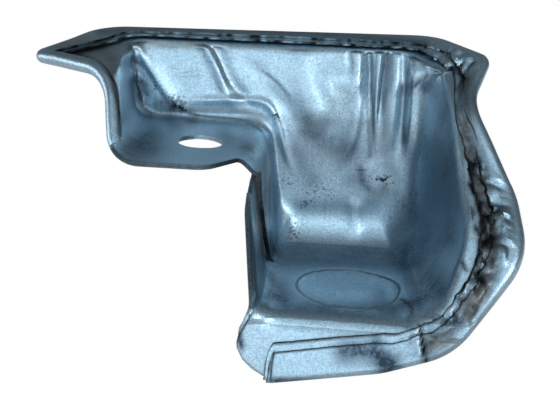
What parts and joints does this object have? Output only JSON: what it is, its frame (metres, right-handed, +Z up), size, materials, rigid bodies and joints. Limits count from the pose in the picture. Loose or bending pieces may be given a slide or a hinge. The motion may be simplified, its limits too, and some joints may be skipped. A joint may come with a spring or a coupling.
{
  "type": "knock sensor heat shield",
  "caption": "Deep pressed pan of thin sheet steel with a raised bolting shelf, an open front, outward flanges and folded-back hems; it shields an engine sensor from heat.",
  "frame": {"origin": "centre of the bolt hole, on the upper face of the bolting shelf", "axes": "+X along the shield from the pointed lip to the flanged right side, +Y away from the open front, +Z up along the bolt, out of the hole"},
  "size_m": [0.0962, 0.0516, 0.0587],
  "materials": {
    "sheet": "satin aluminised sheet"
  },
  "bodies": {
    "root": {"inner_sheet": "sheet", "outer_sheet": "sheet"}
  },
  "joints": []
}
